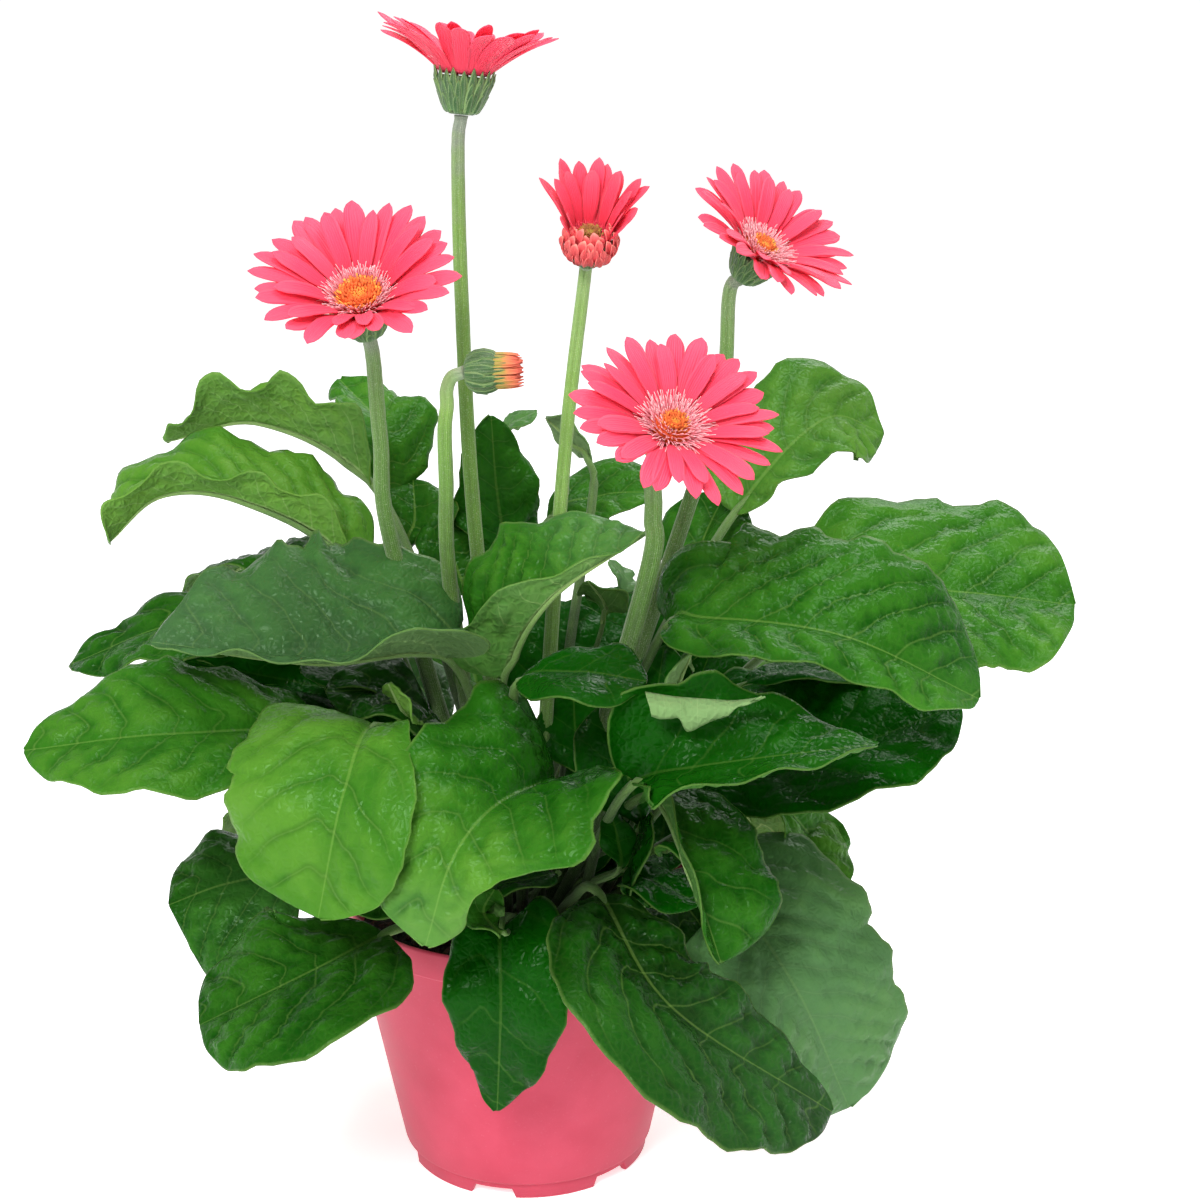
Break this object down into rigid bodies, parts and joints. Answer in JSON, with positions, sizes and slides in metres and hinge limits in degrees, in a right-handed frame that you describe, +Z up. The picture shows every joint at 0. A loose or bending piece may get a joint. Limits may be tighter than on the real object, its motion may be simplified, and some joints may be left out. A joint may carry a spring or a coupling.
{
  "type": "potted gerbera",
  "caption": "Flowering gerbera with daisy-like heads on bare stalks, a bud and a rosette of broad quilted leaves, in a tapered plastic nursery pot.",
  "frame": {"origin": "centre of the pot's foot, on the surface it stands on", "axes": "+Z up along the pot's axis, +X to the right and -Y towards whoever looks at the side most heads face"},
  "size_m": [0.4192, 0.332, 0.4655],
  "materials": {
    "pot": "coral-pink injection-moulded polypropylene, satin to matt",
    "soil": "moist potting mix of peat, bark and coir, dark brown and crumbly",
    "crown": "woody green-brown plant base with pale leaf bases",
    "leaf_dark": "dark green leaf, quilted between its veins, glossy",
    "leaf_mid": "mid-green leaf, quilted between its veins, satin",
    "leaf_light": "young yellow-green leaf, smooth, satin",
    "scape": "grey-green flower stalk with fine down",
    "involucre": "dark green overlapping bracts with paler stripes",
    "petal": "coral-pink petals, satin",
    "disc": "yellow-orange central florets with a pale pink fringe",
    "bud_tip": "closed coral-orange petals"
  },
  "bodies": {
    "root": {"pot": "pot", "soil": "soil", "crown": "crown", "leaf_front_small": "leaf_mid", "leaf_front_right_large": "leaf_dark", "leaf_right_low": "leaf_dark", "leaf_right_hanging": "leaf_mid", "leaf_right_low_small": "leaf_mid", "leaf_left_low": "leaf_mid", "leaf_left_low_back": "leaf_mid", "leaf_left_pale": "leaf_light", "leaf_front_pale": "leaf_light", "leaf_left_glossy": "leaf_mid", "leaf_left_dark": "leaf_dark", "leaf_left_back": "leaf_dark", "leaf_left_back_small": "leaf_mid", "leaf_upper_left_front": "leaf_mid", "leaf_upper_left_back": "leaf_mid", "leaf_back_left": "leaf_mid", "leaf_back_dark": "leaf_mid", "leaf_back_tip": "leaf_mid", "leaf_back_narrow": "leaf_mid", "leaf_back_centre": "leaf_mid", "leaf_centre_quilted": "leaf_dark", "leaf_centre_dark": "leaf_dark", "leaf_right_large": "leaf_mid", "leaf_far_right": "leaf_mid", "leaf_upper_right": "leaf_mid", "leaf_right_shaded": "leaf_dark", "leaf_right_folded": "leaf_mid", "leaf_pale_small": "leaf_mid", "leaf_back_low_left": "leaf_mid", "leaf_back_low": "leaf_mid", "leaf_back_low_right": "leaf_mid", "leaf_back_right": "leaf_mid", "leaf_back_middle": "leaf_mid", "leaf_inner_left": "leaf_dark", "scape_top": "scape", "involucre_top": "involucre", "petals_top": "petal", "disc_top": "disc", "scape_left": "scape", "involucre_left": "involucre", "petals_left": "petal", "disc_left": "disc", "scape_centre": "scape", "involucre_centre": "involucre", "petals_centre": "petal", "disc_centre": "disc", "scape_right": "scape", "involucre_right": "involucre", "petals_right": "petal", "disc_right": "disc", "scape_front": "scape", "involucre_front": "involucre", "petals_front": "petal", "disc_front": "disc", "scape_bud": "scape", "involucre_bud": "involucre", "petals_bud": "bud_tip"}
  },
  "joints": []
}
